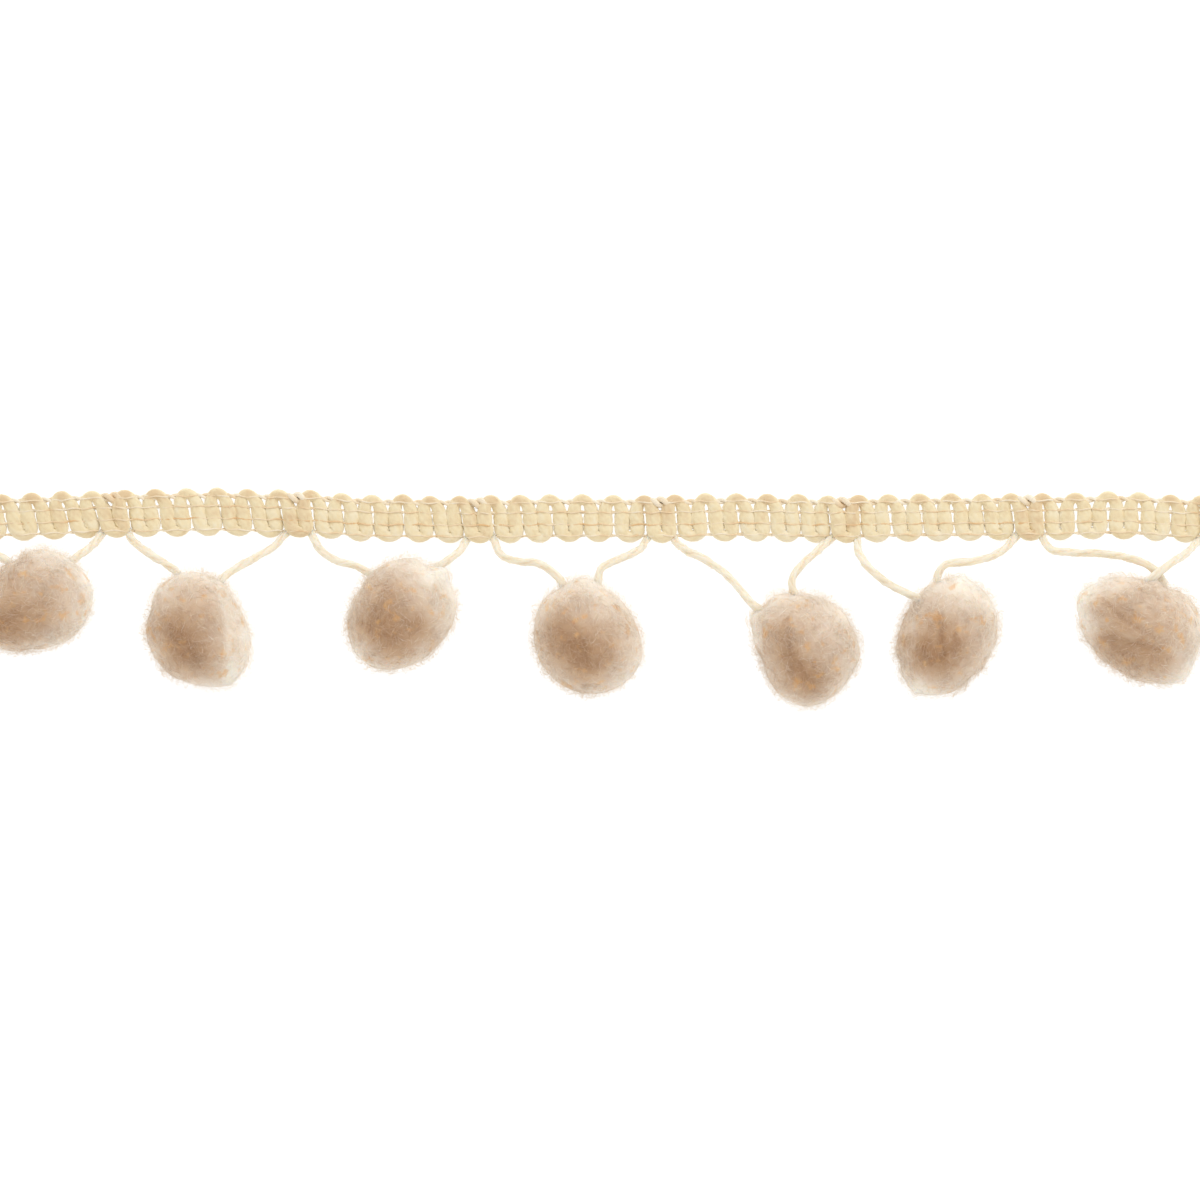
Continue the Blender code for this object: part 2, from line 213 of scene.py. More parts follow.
# The cord's way from one loop of the heading through a pompom to the next loop, in mm
CORD_ROUTES = (
    # pompom 1
    (
        (-72.8, 6.2, 3.1),
        (-70.0, 5.3, 4.2),
        (-67.9, 4.6, 5.2),
        (-66.4, 2.9, 5.8),
        (-65.4, 1.6, 6.0),
        (-64.2, 1.1, 6.0),
        (-63.0, 1.6, 6.0),
        (-61.7, 2.8, 5.8),
        (-60.2, 4.2, 5.2),
        (-58.9, 5.2, 4.4),
        (-57.7, 6.1, 3.3),
    ),
    # pompom 2
    (
        (-51.9, 6.1, 3.1),
        (-50.4, 5.1, 4.0),
        (-48.9, 4.2, 4.8),
        (-47.5, 3.2, 5.4),
        (-46.7, 1.6, 6.0),
        (-46.2, 0.2, 6.2),
        (-45.2, -0.8, 6.2),
        (-43.9, -0.8, 6.2),
        (-42.9, 0.2, 6.2),
        (-42.4, 1.5, 6.0),
        (-41.4, 2.7, 5.4),
        (-40.2, 3.5, 4.8),
        (-37.6, 5.0, 3.8),
        (-35.8, 6.1, 2.9),
    ),
    # pompom 3
    (
        (-30.2, 5.8, 3.0),
        (-29.0, 4.8, 3.8),
        (-27.6, 4.2, 4.5),
        (-26.1, 3.9, 5.0),
        (-24.7, 3.2, 5.5),
        (-22.6, 1.8, 6.0),
        (-20.3, 0.5, 6.2),
        (-18.0, 1.9, 6.0),
        (-16.0, 3.7, 5.5),
        (-14.8, 4.5, 5.0),
        (-13.6, 5.4, 3.9),
    ),
    # pompom 4
    (
        (-8.7, 5.4, 3.1),
        (-7.5, 4.6, 3.8),
        (-6.0, 4.3, 4.5),
        (-4.5, 4.2, 5.0),
        (-3.3, 3.8, 5.3),
        (-2.2, 3.0, 5.6),
        (-1.2, 1.9, 5.9),
        (-0.5, 0.5, 6.2),
        (0.6, -0.7, 6.3),
        (2.1, -0.9, 6.3),
        (3.2, 0.3, 6.2),
        (3.2, 1.9, 5.9),
        (3.5, 3.4, 5.5),
        (4.8, 4.2, 4.9),
        (6.4, 4.9, 4.1),
        (8.2, 5.8, 3.1),
    ),
    # pompom 5
    (
        (13.7, 5.7, 3.1),
        (16.1, 4.5, 4.2),
        (17.8, 3.4, 5.0),
        (19.2, 2.1, 5.9),
        (20.4, 0.7, 6.6),
        (21.9, -1.0, 7.0),
        (23.9, -2.4, 6.9),
        (25.8, -3.1, 6.8),
        (27.4, -2.5, 6.6),
        (27.6, -0.9, 6.4),
        (26.7, 0.5, 6.1),
        (26.4, 1.8, 5.9),
        (26.9, 3.1, 5.4),
        (28.0, 4.3, 4.6),
        (29.5, 5.6, 3.4),
    ),
    # pompom 6
    (
        (34.4, 5.7, 3.1),
        (35.1, 4.3, 4.2),
        (36.5, 2.8, 5.4),
        (38.4, 1.4, 6.7),
        (40.2, 0.5, 7.5),
        (41.7, -0.2, 7.8),
        (43.1, -1.6, 7.4),
        (44.4, -3.3, 6.7),
        (46.2, -3.2, 6.3),
        (46.5, -1.4, 6.4),
        (45.2, 0.2, 6.6),
        (44.0, 1.4, 6.7),
        (43.9, 2.8, 6.5),
        (44.8, 3.9, 6.1),
        (46.3, 4.2, 5.6),
        (48.4, 4.4, 4.9),
        (50.8, 5.1, 3.9),
        (52.2, 6.0, 3.0),
    ),
    # pompom 7, whose two legs cross in front of its mouth
    (
        (57.6, 5.8, 2.9),
        (59.8, 5.4, 3.4),
        (63.2, 5.3, 4.1),
        (66.2, 4.9, 4.6),
        (68.2, 4.3, 4.8),
        (69.8, 3.4, 5.0),
        (70.8, 2.2, 5.1),
        (71.1, 0.8, 5.3),
        (70.8, -0.9, 5.7),
        (69.7, -2.1, 6.2),
        (68.2, -2.1, 6.6),
        (67.3, -0.8, 6.8),
        (67.8, 0.5, 7.0),
        (69.0, 1.8, 7.1),
        (70.4, 3.0, 7.0),
        (71.8, 4.1, 6.3),
        (73.6, 5.2, 4.9),
    ),
)

# Pompoms, from above, as in the solids
POMPOMS = (
    # x, y, radius, oval part, its direction, three-sided part, its direction, in mm and degrees
    (-64.5, -0.60, 6.70, 0.60, 26, 0.25, -33),
    (-44.7, -3.90, 6.85, 0.56, -65, 0.25, -39),
    (-20.4, -1.97, 6.80, 0.61, 49, 0.10, 0),
    (1.8, -4.78, 6.90, 0.46, -58, 0.14, -25),
    (28.0, -5.87, 6.80, 0.54, -59, 0.36, 21),
    (44.9, -4.65, 6.70, 0.85, 63, 0.11, -10),
    (68.4, -3.65, 7.00, 0.85, -26, 0.30, 34),
)

# Corners and flats of the pompoms' outlines, seen from above
CORNERS = {
    # direction and half width in degrees, reach in mm, less than 0 for a flat
    1: ((10, 30, 0.4), (110, 14, -0.4), (268, 12, -0.25)),
    2: ((37, 14, -0.25), (82, 18, -0.4), (135, 9, 0.3), (160, 12, -0.3), (300, 9, 0.3)),
    3: ((30, 8, -0.2), (45, 8, 0.6), (62, 9, -0.4), (15, 10, 0.2), (150, 9, -0.3)),
    4: ((67, 12, -0.4), (120, 10, -0.4), (90, 9, 0.2), (340, 12, 0.2)),
    5: ((22, 12, -0.4), (105, 12, -0.4), (133, 8, -0.4), (150, 8, 0.5), (195, 14, -0.3),
        (348, 10, 0.3)),
    6: ((210, 8, -0.5), (300, 8, -0.3), (356, 6, 0.2), (75, 9, 0.4), (240, 8, 0.3),
        (318, 8, 0.2)),
    7: ((60, 9, -0.3), (75, 8, 0.4), (152, 12, 0.8), (217, 12, 0.3), (308, 16, 0.8)),
}

# Heights over and under a pompom's middle, and how it is flattened on the floor
BALL_MIDDLE = 5.9 * MM
BALL_RISE = 6.0 * MM
BALL_SINK = 5.95 * MM
PILE_INSET = 0.32 * MM
BALL_CUTS = 6
FLOOR_SOFT = 0.5 * MM
FOOT = 0.03 * MM

# Lumps of the pile: size and height of each layer of unevenness, and how far they are kept in at the
# outline
LUMPS = (
    (4.2 * MM, 0.40 * MM),
    (1.5 * MM, 0.10 * MM),
    (0.5 * MM, 0.025 * MM),
)
LUMPS_KEPT_IN = 0.65

# Folds of each pompom's face, from above and from its middle
FOLDS = {
    # from x, y to x, y, half width, depth, in mm, and how much paler the fold is, painted light, less
    # than 0 for painted shade
    2: (
        (2.6, 5.4, 3.8, 1.0, 0.45, 0.16, 0.14),
        (3.8, 1.0, 3.9, -5.6, 0.45, 0.18, 0.18),
    ),
    3: (
        (0.6, 5.2, 2.4, 3.0, 0.6, 0.16, 0.0),
        (2.4, 3.0, 4.8, 0.4, 0.6, 0.14, 0.0),
    ),
    5: (
        (-5.4, 4.7, -2.3, 3.4, 0.6, 0.16, -0.05),
        (-2.3, 3.4, -1.8, -1.0, 0.60, 0.20, -0.10),
        (-1.8, -1.0, 1.2, -5.6, 0.7, 0.20, -0.10),
    ),
    6: (
        (-4.1, 1.6, -3.9, -1.2, 0.35, 0.12, 0.16),
        (-0.8, 2.4, -0.6, -2.2, 0.45, 0.14, -0.12),
        (1.0, 1.8, 0.9, -3.4, 0.40, 0.10, -0.08),
    ),
    7: (
        (-4.8, 3.4, -2.6, 1.2, 0.45, 0.18, -0.14),
        (-2.6, 1.2, -0.8, 0.2, 0.45, 0.14, -0.10),
        (-4.6, -0.9, 1.8, -2.6, 0.5, 0.12, -0.08),
    ),
}

# Painted shade where the pile's colour is deeper and painted light where it is paler, as seen from
# above and from each pompom's middle
PAINTED_SHADE_AND_LIGHT = {
    # x, y, reach, in mm, and depth of the painted shade, less than 0 for painted light where it is
    # paler
    1: ((-5.0, -2.8, 2.4, 0.42), (-1.6, -2.4, 2.6, 0.30), (1.6, -1.2, 2.4, 0.14),
        (-2.5, 1.8, 2.5, 0.12), (2.6, -5.0, 2.0, -0.14), (5.2, -1.5, 1.8, -0.08)),
    2: ((-3.2, 0.4, 1.9, 0.26), (-0.8, -3.0, 2.6, 0.38), (-2.0, -1.4, 2.0, 0.18),
        (-0.4, 2.2, 2.8, 0.12), (5.0, -0.6, 2.0, -0.22), (4.2, 3.8, 2.0, -0.18),
        (4.4, -4.6, 1.8, -0.14)),
    3: ((-4.2, -1.5, 1.7, 0.25), (-1.8, -0.8, 2.4, 0.30), (1.9, -1.5, 1.8, 0.30),
        (-0.8, -3.6, 2.2, 0.30), (-1.9, 2.6, 2.3, 0.20), (3.6, 4.2, 2.4, -0.22),
        (5.0, 0.4, 1.6, -0.10)),
    4: ((-1.2, -1.2, 2.7, 0.44), (-3.4, 1.0, 2.0, 0.22), (0.6, -3.6, 2.3, 0.22),
        (2.6, -1.0, 2.0, 0.14), (1.6, 5.2, 2.2, -0.12)),
    5: ((0.3, -4.0, 2.4, 0.40), (-1.9, -1.4, 1.8, 0.26), (-2.6, 1.8, 1.2, 0.20),
        (-3.8, 0.2, 1.7, 0.12), (-5.8, 0.8, 1.2, -0.18), (3.4, 2.4, 3.0, -0.08)),
    6: ((-0.8, 1.4, 1.3, 0.22), (-1.4, -2.5, 2.7, 0.44), (-3.1, -0.8, 1.5, 0.20),
        (0.9, -0.6, 1.8, 0.20), (-5.2, -0.6, 0.9, 0.20), (2.2, 4.6, 2.4, -0.14),
        (-3.2, -5.8, 1.4, -0.18)),
    7: ((-4.4, -1.6, 1.6, 0.24), (-2.4, -2.8, 2.0, 0.20), (0.2, -3.6, 2.2, 0.20),
        (2.4, -4.4, 1.8, 0.20), (-2.4, 1.2, 1.8, 0.16), (-5.2, 2.4, 1.4, 0.18),
        (0.6, 0.0, 3.6, 0.08), (-6.6, 0.4, 1.2, -0.12)),
}

# Tone of the pile, from 0 for the deepest to 1 for the palest: in the middle; paler towards the rim and
# the upper right, which is painted light for the light through the rim and from the upper right; and
# the tone that the underside fades to
TONE_MIDDLE = 0.49
RIM_PAINTED_LIGHT = 0.32
RIM_PAINTED_LIGHT_POWER = 4.0
SLANT_PAINTED_LIGHT = 0.05
TONE_BELOW = 0.70
TONE_FADE_FROM = 2.0 * MM
TONE_FADE = 2.5 * MM

# Fibres of the pile. Lengths and rises are in mm.
LYING_FIBRES = 2700
LYING_LENGTH = (1.0, 2.4)
LYING_RISE = (0.01, 0.07)
LYING_ROOT = -0.04 * MM
LYING_CURL = 0.4
LYING_PALER = (-0.08, 0.14)
FIBRE_RADIUS = 0.016 * MM
PALE_SHARE = 0.16
PALE_MORE = 0.40
PALE_WIDTH = 1.3
STANDING_FIBRES = 3900
STANDING_LENGTH = (0.5, 1.9)
STANDING_RISE = 0.12
STANDING_REACH = 1.05
STANDING_ROOT = -0.10 * MM
STANDING_CURL = 0.7
STANDING_FLAT = 0.85
# Standing fibres are paler: painted light, for the light that comes through the halo round the pile
STANDING_PAINTED_LIGHT = (0.05, 0.35)
HALO_RADIUS = 0.015 * MM
FIBRE_KNOTS = 4

# Fuzz of the cord and of the heading
CORD_HAIRS = 2600
CORD_HAIR_LENGTH = 1.1 * MM
CORD_HAIR_STAND = 0.42 * MM
CORD_HAIR_RADIUS = 0.017 * MM
HEADING_HAIRS = 3000
HEADING_HAIR_LENGTH = 1.2 * MM
HEADING_HAIR_STAND = 0.30 * MM
HEADING_HAIR_RADIUS = 0.016 * MM

# Stage
FLOOR_HALF = 6.0
FLOOR_GLOW = 0.93
FLOOR_PAPER = 0.25
TENT_LOW = 0.90
TENT_OVERHEAD = 0.86
LAMP_PLACE = (0.35, 0.70, 0.55)
LAMP_SIZE = 0.6
LAMP_POWER = 2.5

SEED = 11


def smooth_step(share):
    share = np.clip(share, 0.0, 1.0)
    return share * share * (3 - 2 * share)


def heading_lie(x):
    """Shift along and across of the heading at stations x."""
    rows = np.array(HEADING_LIE)
    station = np.clip(np.asarray(x) / MM, rows[0, 0], rows[-1, 0] - 1e-6)
    after = np.searchsorted(rows[:, 0], station, side="right")
    before = after - 1
    share = smooth_step((station - rows[before, 0]) / (rows[after, 0] - rows[before, 0]))
    along = rows[before, 1] + share * (rows[after, 1] - rows[before, 1])
    across = rows[before, 2] + share * (rows[after, 2] - rows[before, 2])
    return along * MM, across * MM


def loop_places():
    return [(index - (LOOPS - 1) / 2) * PITCH for index in range(LOOPS)]


def near_loop(x):
    """1 at a cord loop, falling to 0 away from it."""
    gap = np.min([np.abs(x - place) for place in loop_places()], axis=0)
    return smooth_step(1 - gap / LOOP_SWELL_REACH)


def wander(count, grain, rng):
    """A smooth random line of this many values, with a new value every grain of them."""
    knots = rng.uniform(-1, 1, count // grain + 3)
    place = np.arange(count) / grain
    left = place.astype(int)
    share = smooth_step(place - left)
    return knots[left] * (1 - share) + knots[left + 1] * share


# Meshes


def mesh_piece(name, points, triangles, material, nodes, tint, smooth=True):
    """A piece of the object from arrays of points and triangles."""
    mesh = bpy.data.meshes.new(name)
    points = np.asarray(points, dtype=np.float32)
    triangles = np.asarray(triangles, dtype=np.int32)
    mesh.vertices.add(len(points))
    mesh.vertices.foreach_set("co", points.ravel())
    mesh.loops.add(triangles.size)
    mesh.loops.foreach_set("vertex_index", triangles.ravel())
    mesh.polygons.add(len(triangles))
    mesh.polygons.foreach_set("loop_start", np.arange(0, triangles.size, 3, dtype=np.int32))
    mesh.update(calc_edges=True)
    mesh.validate()
    if smooth:
        mesh.shade_smooth()
    else:
        mesh.shade_flat()
    layer = mesh.attributes.new("tint", "FLOAT", "POINT")
    layer.data.foreach_set("value", np.asarray(tint, dtype=np.float32))
    mesh.materials.append(material)
    piece = bpy.data.objects.new(name, mesh)
    bpy.context.scene.collection.objects.link(piece)
    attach(piece, "root")
    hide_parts(*nodes)


def unit(vectors):
    return vectors / np.maximum(np.linalg.norm(vectors, axis=-1, keepdims=True), 1e-12)


def line_frames(line):
    """Tangent, side and top direction along a line that never stands upright."""
    tangent = unit(np.gradient(line, axis=0))
    side = unit(np.cross(np.array((0.0, 0.0, 1.0)), tangent))
    top = np.cross(tangent, side)
    return tangent, side, top


def rope_surface(line, wide, high, relief, squareness=2.0):
    """Points and triangles of a closed rope along a line. wide and high are its half width and
    half height at each point, and relief a grid that scales each ring's reach. Its section is
    round at a squareness of 2 and more like a box above that."""
    steps, sides = relief.shape
    tangent, side, top = line_frames(line)
    turn = np.linspace(0, 2 * np.pi, sides, endpoint=False)
    cosine = np.sign(np.cos(turn)) * np.abs(np.cos(turn)) ** (2 / squareness)
    sine = np.sign(np.sin(turn)) * np.abs(np.sin(turn)) ** (2 / squareness)
    across = (wide[:, None] * cosine * relief)[..., None] * side[:, None, :]
    upward = (high[:, None] * sine * relief)[..., None] * top[:, None, :]
    rings = line[:, None, :] + across + upward
    ends = np.array([line[0] - tangent[0] * high[0] * 0.5, line[-1] + tangent[-1] * high[-1] * 0.5])
    points = np.vstack([rings.reshape(-1, 3), ends])
    ring = np.arange(steps - 1)[:, None] * sides
    here = ring + np.arange(sides)
    beside = ring + (np.arange(sides) + 1) % sides
    first = np.stack([here, here + sides, beside], axis=-1).reshape(-1, 3)
    second = np.stack([beside, here + sides, beside + sides], axis=-1).reshape(-1, 3)
    start = np.arange(sides)
    stop = start + (steps - 1) * sides
    following = (start + 1) % sides
    start_cap = np.stack([start, following, np.full(sides, steps * sides)], axis=-1)
    stop_cap = np.stack([stop, np.full(sides, steps * sides + 1),
                         following + (steps - 1) * sides], axis=-1)
    return points, np.vstack([first, second, start_cap, stop_cap])


def strand_relief(run, sides, strands, lay, depth, rng):
    """Relief of strands that wind round a rope, uneven along it."""
    turn = np.linspace(0, 2 * np.pi, sides, endpoint=False)
    drift = wander(len(run), 9, rng) * 0.7
    wind = 2 * np.pi * run / lay + drift
    coarse = np.abs(np.sin(strands * (turn[None, :] + wind[:, None]) / 2)) - 0.6
    fine = np.sin(strands * 2.7 * turn[None, :] + 1.9 * wind[:, None] + 3 * drift[:, None])
    grit = rng.normal(0, 1, (len(run), sides))
    return 1 + depth * (coarse + 0.30 * fine + 0.22 * grit)


def hair_surface(lines, radii):
    """Points and triangles of fine hairs, each a closed three-sided thread with pointed ends."""
    count, knots, _ = lines.shape
    tangent = unit(np.gradient(lines, axis=1))
    helper = np.where(np.abs(tangent[..., 2:3]) < 0.8, (0.0, 0.0, 1.0), (1.0, 0.0, 0.0))
    side = unit(np.cross(tangent, helper))
    other = np.cross(tangent, side)
    inner = lines[:, 1:-1]
    turn = np.arange(3) * 2 * np.pi / 3
    ring = (side[:, 1:-1, None, :] * np.cos(turn)[:, None]
            + other[:, 1:-1, None, :] * np.sin(turn)[:, None])
    rings = inner[:, :, None, :] + ring * radii[:, None, None, None]
    body = rings.reshape(count, -1, 3)
    points = np.concatenate([body, lines[:, :1], lines[:, -1:]], axis=1)
    a_hair = []
    for row in range(knots - 3):
        for corner in range(3):
            beside = (corner + 1) % 3
            low, low_beside = row * 3 + corner, row * 3 + beside
            a_hair.append((low, low_beside, low + 3))
            a_hair.append((low_beside, low_beside + 3, low + 3))
    root = (knots - 2) * 3
    last = (knots - 3) * 3
    for corner in range(3):
        beside = (corner + 1) % 3
        a_hair.append((root, beside, corner))
        a_hair.append((root + 1, last + corner, last + beside))
    a_hair = np.array(a_hair)
    offset = np.arange(count) * points.shape[1]
    triangles = a_hair[None, :, :] + offset[:, None, None]
    return points.reshape(-1, 3), triangles.reshape(-1, 3), points.shape[1]


# Heading


def turn_shift(x, across):
    """How far along the heading the weft is drawn at stations x, by its place across it."""
    rows = np.array(TURN_SHIFTS)
    upper = np.interp(x / MM, rows[:, 0], rows[:, 1])
    lower = np.interp(x / MM, rows[:, 0], rows[:, 2])
    share = np.clip(0.5 + across / (2 * WEFT_REACH), 0, 1)
    return (lower + share * (upper - lower)) * MM


def weft_line(rng):
    """The centre line of the weft yarn, and where along and across the heading it runs."""
    turns = (LOOPS - 1) * WEFT_TURNS + 2 * END_TURNS
    steps = int(turns * WEFT_STEPS_A_TURN)
    phase = -END_TURNS + np.arange(steps + 1) / WEFT_STEPS_A_TURN
    lower = (1 + np.cos(2 * np.pi * phase)) / 2
    sway = WEFT_SWAY_UPPER + lower * (WEFT_SWAY_LOWER - WEFT_SWAY_UPPER)
    x = loop_places()[0] + TURN * (phase + sway * np.sin(4 * np.pi * phase))
    half = WEFT_STEPS_A_TURN // 2
    x = x - WEFT_LEAN * np.sin(2 * np.pi * phase) ** 5 + wander(len(x), half, rng) * WEFT_UNEVEN
    across = WEFT_SHIFT - WEFT_REACH * np.cos(2 * np.pi * phase)
    upper = np.clip(across / WEFT_REACH, 0, 1)
    x = x + LOOP_SPREAD * near_loop(x) * upper * np.sin(2 * np.pi * phase)
    x = x + turn_shift(x, across)
    across = across + wander(len(x), half, rng) * WEFT_UNEVEN
    along_shift, across_shift = heading_lie(x)
    height = WEFT_HEIGHT + near_loop(x) * LOOP_SWELL + wander(len(x), half, rng) * WEFT_UNEVEN / 2
    line = np.stack([x + along_shift, HEADING_Y + across_shift + across, height], axis=-1)
    return line, across


def weft_top(x, y, line, wide, high):
    """Height of the weft's upper side above points of the heading, 0 between its legs."""
    top = np.zeros(len(x))
    for index, (px, py) in enumerate(zip(x, y)):
        near = np.abs(line[:, 0] - px) < 1.3 * MM
        share = np.hypot(line[near, 0] - px, line[near, 1] - py) / wide[near]
        inside = share < 1
        if inside.any():
            arch = (1 - share[inside] ** WEFT_SQUARENESS) ** (1 / WEFT_SQUARENESS)
            top[index] = np.max(line[near, 2][inside] + high[near][inside] * arch)
    return top


def near_warp(across, reach):
    """1 where the weft crosses a warp thread, falling to 0 away from it."""
    places = [row[0] * MM for row in WARP_LINES]
    return sum(np.exp(-(((across - place) / reach) ** 2)) for place in places)


def make_weft(material, rng):
    """The weft yarn. Gives its centre line and half sizes, which the warp and the fuzz follow."""
    line, across = weft_line(rng)
    widths = np.array(WEFT_WIDTHS)
    pinch = near_warp(across, PINCH_WIDTH)
    wide = np.interp(across / MM, widths[:, 0], widths[:, 1]) * MM * (1 - PINCH_WAIST * pinch)
    high = WEFT_HALF_HEIGHT * (1 - PINCH_DEPTH * pinch)
    run = np.concatenate([[0], np.cumsum(np.linalg.norm(np.diff(line, axis=0), axis=1))])
    relief = strand_relief(run, WEFT_SIDES, WEFT_STRANDS, WEFT_LAY, WEFT_RELIEF, rng)
    points, triangles = rope_surface(line, wide, high, relief, WEFT_SQUARENESS)
    points[:, 2] = np.maximum(points[:, 2], FOOT)
    # Painted shade: deeper along the upper edge, and below in the grooves between the strands
    top_edge = smooth_step(across / MM - SHADE_TOP_FROM)
    foot_edge = smooth_step(-across / GOLD_FOOT_REACH)
    uneven = wander(len(line), WEFT_STEPS_A_TURN // 2, rng)
    gold = WEFT_GOLD + GOLD_AT_LOOPS * near_loop(line[:, 0]) + SHADE_AT_TOP * top_edge
    gold = gold - GOLD_AT_FOOT * foot_edge + GOLD_UNEVEN * uneven
    # Painted light: paler on the flanks of the yarn
    turn = np.linspace(0, 2 * np.pi, WEFT_SIDES, endpoint=False)
    flank = np.abs(np.cos(turn)) ** FLANK_POWER
    tint = gold[:, None] - GROOVE_SHADE * (relief - 1) - FLANK_LIGHT * flank[None, :]
    tint = np.concatenate([tint.ravel(), [0.5, 0.5]])
    mesh_piece("heading_weft", points, triangles, material, ["braid_heading"], tint)
    return line, wide, high


def make_warp(material, line, wide, high, rng):
    """Pairs of twisted threads through the weft's turns, and a fine stitch over each pair."""
    points_all, triangles_all, tints = [], [], []
    base = 0
    turns = (LOOPS - 1) * WEFT_TURNS + 2 * END_TURNS
    count = int(turns * WARP_STEPS_A_TURN)
    half_length = (LOOPS - 1) / 2 * PITCH + END_TURNS * TURN
    x = np.linspace(-half_length, half_length, count)
    along, across = heading_lie(x)
    twist = 3 * np.pi * (x - loop_places()[0]) / TURN
    for place, strand, at_loops, stitch_gold in WARP_LINES:
        radius = strand * MM * (1 + (at_loops - 1) * near_loop(x))
        middle = HEADING_Y + across + place * MM
        threads = []
        height = WARP_HEIGHT + WARP_SWELL * near_loop(x)
        for way in (1, -1):
            y = middle + way * STRAND_APART * radius * np.cos(twist)
            z = height + way * STRAND_APART * radius * np.sin(twist)
            threads.append((y, z, radius, STRAND_GOLD))
        y = middle + STITCH_SWAY * np.cos(twist) + wander(count, 7, rng) * STITCH_UNEVEN
        top = np.maximum(weft_top(x + along, y, line, wide, high), WARP_HEIGHT)
        top = np.convolve(np.pad(top, 1, mode="edge"), (0.2, 0.6, 0.2), mode="valid")
        z = top + STITCH_RADIUS * (0.8 * wander(count, 5, rng) - 0.1)
        threads.append((y, z, np.full(count, STITCH_RADIUS), stitch_gold))
        for y, z, radius, gold in threads:
            thread = np.stack([x + along, y, z], axis=-1)
            relief = strand_relief(x - x[0], WARP_SIDES, 2, WARP_LAY, WARP_RELIEF, rng)
            points, triangles = rope_surface(thread, radius, radius, relief)
            points_all.append(points)
            triangles_all.append(triangles + base)
            base += len(points)
            patches = WARP_PATCHES * wander(count, 5, rng)
            patchy = gold + WARP_GOLD_AT_LOOPS * near_loop(x) + patches
            tints += [np.repeat(patchy, WARP_SIDES), patchy[:1], patchy[-1:]]
    mesh_piece("heading_warp", np.vstack(points_all), np.vstack(triangles_all), material,
               ["braid_heading"], np.concatenate(tints))


def rope_hairs(line, wide, high, count, length, stand, radius, rng):
    """Fine hairs that stand off a rope, mostly along it."""
    steps = len(line)
    tangent, side, top = line_frames(line)
    spot = rng.integers(2, steps - 2, count)
    turn = rng.uniform(0, 2 * np.pi, count)
    out = side[spot] * np.cos(turn)[:, None] + top[spot] * np.sin(turn)[:, None]
    reach = side[spot] * (wide[spot] * np.cos(turn))[:, None]
    reach = reach + top[spot] * (high[spot] * np.sin(turn))[:, None]
    start = line[spot] + reach * 0.86
    way = tangent[spot] * rng.choice((-1, 1), count)[:, None]
    sidle = np.cross(tangent[spot], out) * rng.normal(0, 0.6, count)[:, None]
    way = unit(way + sidle)
    far = rng.uniform(0.5, 1.0, count) * length
    rise = rng.uniform(0.2, 1.0, count) ** 1.6 * stand
    share = np.linspace(0, 1, FIBRE_KNOTS)
    bow = np.sin(share * np.pi * 0.62)
    lines = (start[:, None, :] + way[:, None, :] * (share[None, :] * far[:, None])[..., None]
             + out[:, None, :] * (bow[None, :] * rise[:, None])[..., None])
    lines = lines + rng.normal(0, 0.03 * MM, lines.shape) * share[None, :, None]
    lines[..., 2] = np.maximum(lines[..., 2], FOOT)
    return hair_surface(lines, np.full(count, radius) * rng.uniform(0.7, 1.3, count))


def make_hairs(name, data, material, nodes, rng):
    """A piece of fine hairs, each with a tint of its own."""
    points, triangles, each = data
    tint = np.repeat(rng.uniform(0, 1, len(points) // each), each)
    mesh_piece(name, points, triangles, material, nodes, tint, smooth=False)


# Carrier cord


def loop_points(place):
    """The cord's loop at one place of the heading."""
    along, across = heading_lie(place)
    points = []
    for dx, dy, z in LOOP_ROUTE:
        drawn = turn_shift(np.array(place), dy * MM) if abs(dy) < DRAWN_WITHIN else 0.0
        x = place + along + dx * MM + drawn
        points.append(Vector((x, HEADING_Y + across + dy * MM, z * MM)))
    return points


def cord_route():
    """Every point of the carrier cord, from the first loop's crown to the last one's."""
    places = loop_places()
    route = loop_points(places[0])[LOOP_CROWN:]
    for place, way in zip(places[1:], CORD_ROUTES):
        for x, y, z in way:
            dip = DIP * smooth_step((y * MM - DIP_START) / DIP_REACH)
            route.append(Vector((x * MM, y * MM, z * MM - dip)))
        route += loop_points(place)
    return route[: LOOP_CROWN + 1 - len(LOOP_ROUTE)]


def blend(a, b, ta, tb, t):
    return a * ((tb - t) / (tb - ta)) + b * ((t - ta) / (tb - ta))


def curve_point(four, knots, t):
    """The point at t of the smooth curve between the middle two of four points."""
    level = [blend(four[i], four[i + 1], knots[i], knots[i + 1], t) for i in range(3)]
    level = [blend(level[i], level[i + 1], knots[i], knots[i + 2], t) for i in range(2)]
    return blend(level[0], level[1], knots[1], knots[2], t)


def smooth_curve(points):
    """Many points on one smooth curve through the given ones (centripetal Catmull-Rom)."""
    ends = [2 * points[0] - points[1], *points, 2 * points[-1] - points[-2]]
    curve = [points[0]]
    for four in zip(ends, ends[1:], ends[2:], ends[3:]):
        knots = [0.0]
        for a, b in zip(four, four[1:]):
            knots.append(knots[-1] + math.sqrt((b - a).length))
        for grain in range(1, ROUTE_GRAIN + 1):
            t = knots[1] + (knots[2] - knots[1]) * grain / ROUTE_GRAIN
            curve.append(curve_point(four, knots, t))
    return curve


def even_line(curve, step):
    """Points at even steps along a curve."""
    line = np.array([tuple(point) for point in curve])
    run = np.concatenate([[0], np.cumsum(np.linalg.norm(np.diff(line, axis=0), axis=1))])
    stations = np.linspace(0, run[-1], int(run[-1] / step) + 1)
    line = np.stack([np.interp(stations, run, line[:, axis]) for axis in range(3)], axis=-1)
    return line, stations


